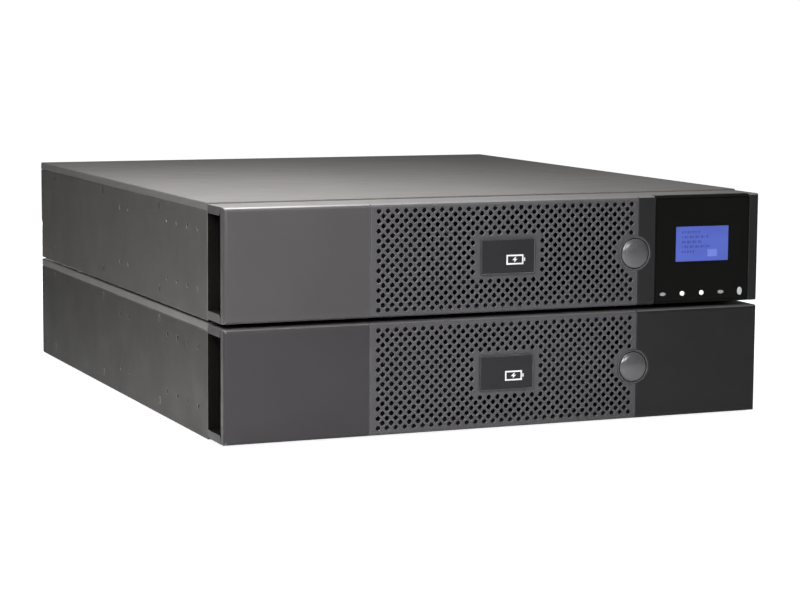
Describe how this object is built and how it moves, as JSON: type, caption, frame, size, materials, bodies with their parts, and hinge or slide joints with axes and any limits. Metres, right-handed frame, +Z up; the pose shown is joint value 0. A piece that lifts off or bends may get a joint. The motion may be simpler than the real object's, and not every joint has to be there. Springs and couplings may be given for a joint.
{
  "type": "rackmount ups",
  "caption": "Low rack power supply with a display panel, standing on its matching battery module; perforated fronts, lift-off covers and slide-out battery trays.",
  "frame": {"origin": "middle of the footprint, on the surface the lower unit's foot stands on", "axes": "+X to the right seen from the front, -Y out of the front, +Z up; depth runs along Y"},
  "size_m": [0.441, 0.522, 0.1754],
  "materials": {
    "casing_paint": "fine textured powder coat, charcoal",
    "cover_paint": "fine textured powder coat, charcoal",
    "bezel_plastic": "moulded, fine spark texture",
    "grille_plastic": "moulded, fine spark texture",
    "badge_plastic": "smooth satin",
    "gloss_black": "polished",
    "screen_blue": "lit liquid crystal display",
    "key_light": "back-lit translucent",
    "battery_case": "moulded",
    "zinc_steel": "zinc plated",
    "rubber": "matt",
    "circuit_board": "solder mask",
    "heatsink_metal": "extruded",
    "core_steel": "varnished laminations",
    "socket_plastic": "moulded",
    "fan_plastic": "moulded",
    "button_black": "moulded"
  },
  "bodies": {
    "stack": {"ebm_casing": "casing_paint", "ebm_rear_panel": "casing_paint", "ebm_top_cover": "cover_paint", "ebm_bezel": "bezel_plastic", "ebm_front_frame": "bezel_plastic", "ebm_foot": "rubber", "ups_casing": "casing_paint", "ups_rear_panel": "casing_paint", "ups_top_cover": "cover_paint", "ups_bezel": "bezel_plastic", "ups_front_frame": "bezel_plastic", "ups_foot": "rubber", "ebm_sockets": "socket_plastic", "ups_inlet": "socket_plastic", "ups_outlets_lower": "socket_plastic", "ups_outlets_upper": "socket_plastic", "ups_battery_socket": "socket_plastic", "ups_ports": "socket_plastic", "ebm_fuse_board": "circuit_board", "ups_power_board": "circuit_board", "ups_heatsink": "heatsink_metal", "ups_transformer": "core_steel", "ups_fan_frame": "fan_plastic", "ups_card_cover": "casing_paint"},
    "ebm_cover": {"ebm_front_cover": "bezel_plastic", "ebm_grille": "grille_plastic"},
    "ebm_badge": {"ebm_badge": "badge_plastic"},
    "ebm_knob": {"ebm_knob": "bezel_plastic"},
    "ebm_door": {"ebm_battery_door": "casing_paint"},
    "ups_cover": {"ups_front_cover": "bezel_plastic", "ups_grille": "grille_plastic"},
    "ups_badge": {"ups_badge": "badge_plastic"},
    "ups_knob": {"ups_knob": "bezel_plastic"},
    "ups_door": {"ups_battery_door": "casing_paint"},
    "ebm_pack_left": {"ebm_tray_left": "zinc_steel", "ebm_battery_left_1": "battery_case", "ebm_battery_left_2": "battery_case", "ebm_battery_left_3": "battery_case", "ebm_battery_left_4": "battery_case"},
    "ebm_pack_right": {"ebm_tray_right": "zinc_steel", "ebm_battery_right_1": "battery_case", "ebm_battery_right_2": "battery_case", "ebm_battery_right_3": "battery_case", "ebm_battery_right_4": "battery_case"},
    "ups_pack": {"ups_tray": "zinc_steel", "ups_battery_1": "battery_case", "ups_battery_2": "battery_case", "ups_battery_3": "battery_case", "ups_battery_4": "battery_case"},
    "ups_display": {"ups_display_housing": "gloss_black", "ups_display_glass": "gloss_black", "ups_screen": "screen_blue", "ups_control_board": "circuit_board"},
    "ups_key_escape": {"ups_key_escape": "key_light"},
    "ups_key_down": {"ups_key_down": "key_light"},
    "ups_key_up": {"ups_key_up": "key_light"},
    "ups_key_enter": {"ups_key_enter": "key_light"},
    "ups_key_power": {"ups_key_power": "key_light"},
    "ups_fan_rotor": {"ups_fan_rotor": "fan_plastic"},
    "ups_reset_button": {"ups_reset_button": "button_black"}
  },
  "joints": [
    {"name": "ebm_pack_left_pull", "type": "slide", "parent": "stack", "child": "ebm_pack_left", "axis": [0, -1, 0], "range_m": [0, 0.24]},
    {"name": "ebm_pack_right_pull", "type": "slide", "parent": "stack", "child": "ebm_pack_right", "axis": [0, -1, 0], "range_m": [0, 0.24]},
    {"name": "ebm_door_pull", "type": "slide", "parent": "stack", "child": "ebm_door", "axis": [0, -1, 0], "range_m": [0, 0.27]},
    {"name": "ebm_cover_pull", "type": "slide", "parent": "stack", "child": "ebm_cover", "axis": [0, -1, 0], "range_m": [0, 0.3]},
    {"name": "ebm_knob_turn", "type": "hinge", "parent": "ebm_cover", "child": "ebm_knob", "pos_m": [0.111, -0.2585, 0.0431], "axis": [0, 1, 0], "range_deg": [0, 90]},
    {"name": "ebm_badge_turn", "type": "hinge", "parent": "ebm_cover", "child": "ebm_badge", "pos_m": [0.00275, -0.2585, 0.0446], "axis": [0, 1, 0], "range_deg": [0, 90]},
    {"name": "ups_pack_pull", "type": "slide", "parent": "stack", "child": "ups_pack", "axis": [0, -1, 0], "range_m": [0, 0.24]},
    {"name": "ups_door_pull", "type": "slide", "parent": "stack", "child": "ups_door", "axis": [0, -1, 0], "range_m": [0, 0.27]},
    {"name": "ups_cover_pull", "type": "slide", "parent": "stack", "child": "ups_cover", "axis": [0, -1, 0], "range_m": [0, 0.3]},
    {"name": "ups_knob_turn", "type": "hinge", "parent": "ups_cover", "child": "ups_knob", "pos_m": [0.111, -0.2585, 0.1308], "axis": [0, 1, 0], "range_deg": [0, 90]},
    {"name": "ups_badge_turn", "type": "hinge", "parent": "ups_cover", "child": "ups_badge", "pos_m": [0.00275, -0.2585, 0.1323], "axis": [0, 1, 0], "range_deg": [0, 90]},
    {"name": "ups_display_pull", "type": "slide", "parent": "stack", "child": "ups_display", "axis": [0, -1, 0], "range_m": [0, 0.02]},
    {"name": "ups_key_escape_press", "type": "slide", "parent": "ups_display", "child": "ups_key_escape", "axis": [0, 1, 0], "range_m": [0, 0.001], "stiffness_N_per_m": 400, "springref_m": -0.0005},
    {"name": "ups_key_down_press", "type": "slide", "parent": "ups_display", "child": "ups_key_down", "axis": [0, 1, 0], "range_m": [0, 0.001], "stiffness_N_per_m": 400, "springref_m": -0.0005},
    {"name": "ups_key_up_press", "type": "slide", "parent": "ups_display", "child": "ups_key_up", "axis": [0, 1, 0], "range_m": [0, 0.001], "stiffness_N_per_m": 400, "springref_m": -0.0005},
    {"name": "ups_key_enter_press", "type": "slide", "parent": "ups_display", "child": "ups_key_enter", "axis": [0, 1, 0], "range_m": [0, 0.001], "stiffness_N_per_m": 400, "springref_m": -0.0005},
    {"name": "ups_key_power_press", "type": "slide", "parent": "ups_display", "child": "ups_key_power", "axis": [0, 1, 0], "range_m": [0, 0.001], "stiffness_N_per_m": 400, "springref_m": -0.0005},
    {"name": "ups_fan_spin", "type": "hinge", "parent": "stack", "child": "ups_fan_rotor", "pos_m": [0.1673, 0.245, 0.1323], "axis": [0, 1, 0], "continuous": true},
    {"name": "ups_reset_press", "type": "slide", "parent": "stack", "child": "ups_reset_button", "axis": [0, -1, 0], "range_m": [0, 0.002], "stiffness_N_per_m": 500, "springref_m": -0.0005}
  ],
  "couplings": [
    {"joint": "ebm_pack_right_pull", "follows": "ebm_pack_left_pull", "ratio": 1},
    {"joint": "ebm_door_pull", "follows": "ebm_pack_left_pull", "ratio": 1.125},
    {"joint": "ebm_cover_pull", "follows": "ebm_pack_left_pull", "ratio": 1.25},
    {"joint": "ups_door_pull", "follows": "ups_pack_pull", "ratio": 1.125},
    {"joint": "ups_cover_pull", "follows": "ups_pack_pull", "ratio": 1.25}
  ]
}
